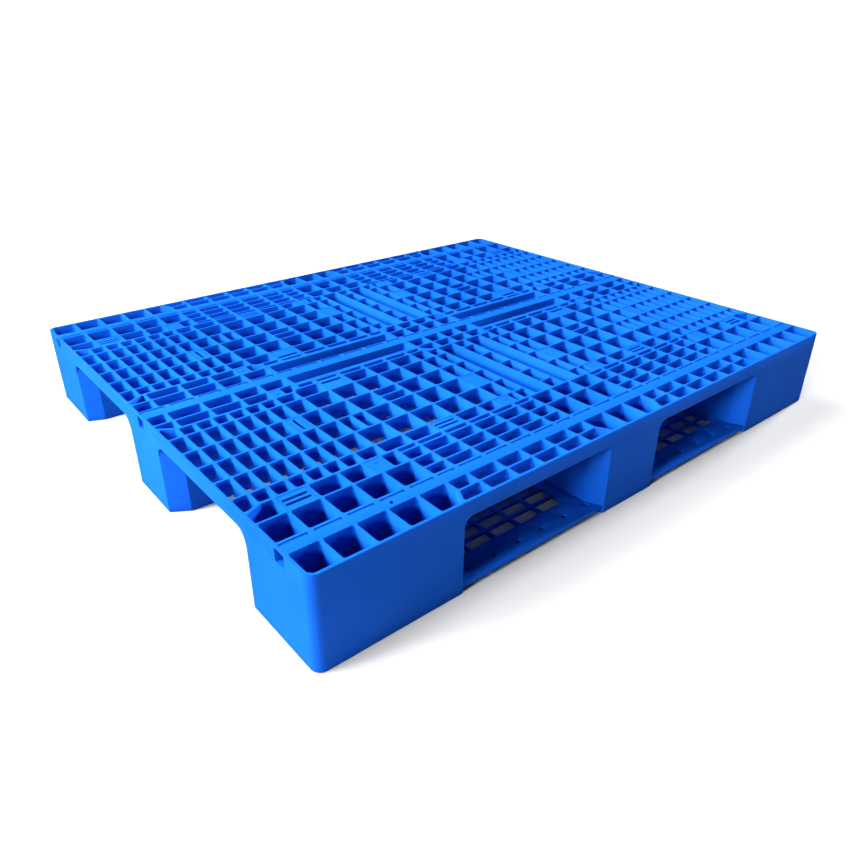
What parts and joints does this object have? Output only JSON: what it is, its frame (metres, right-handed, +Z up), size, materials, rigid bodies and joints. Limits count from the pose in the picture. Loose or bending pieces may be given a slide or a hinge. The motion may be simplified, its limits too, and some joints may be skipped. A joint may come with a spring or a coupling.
{
  "type": "plastic pallet",
  "caption": "Plastic pallet with an open-grid top deck on hollow ribbed legs and flat bottom runners, stiffened by steel tubes, with fork entry from every side.",
  "frame": {"origin": "centre of the footprint, on the ground", "axes": "+X along the length and the runners, +Y across the width, +Z up"},
  "size_m": [1.2, 1, 0.15],
  "materials": {
    "deck_plastic": "injection-moulded polyethylene, satin",
    "leg_plastic": "injection-moulded polyethylene, satin",
    "runner_plastic": "injection-moulded polyethylene, satin",
    "plug_plastic": "moulded, matte",
    "tube_steel": "galvanised",
    "screw_steel": "zinc plated"
  },
  "bodies": {
    "root": {"deck_grille": "deck_plastic", "leg_near_left": "leg_plastic", "leg_near_mid": "leg_plastic", "leg_near_right": "leg_plastic", "leg_mid_left": "leg_plastic", "leg_centre": "leg_plastic", "leg_mid_right": "leg_plastic", "leg_far_left": "leg_plastic", "leg_far_mid": "leg_plastic", "leg_far_right": "leg_plastic", "runner_near": "runner_plastic", "steel_tube_near": "tube_steel", "tube_plug_near_left": "plug_plastic", "tube_plug_near_right": "plug_plastic", "runner_screws_near": "screw_steel", "runner_mid": "runner_plastic", "steel_tube_mid": "tube_steel", "tube_plug_mid_left": "plug_plastic", "tube_plug_mid_right": "plug_plastic", "runner_screws_mid": "screw_steel", "runner_far": "runner_plastic", "steel_tube_far": "tube_steel", "tube_plug_far_left": "plug_plastic", "tube_plug_far_right": "plug_plastic", "runner_screws_far": "screw_steel", "opening_gussets_near": "leg_plastic", "opening_gussets_far": "leg_plastic", "opening_gussets_left": "leg_plastic", "opening_gussets_right": "leg_plastic"}
  },
  "joints": []
}
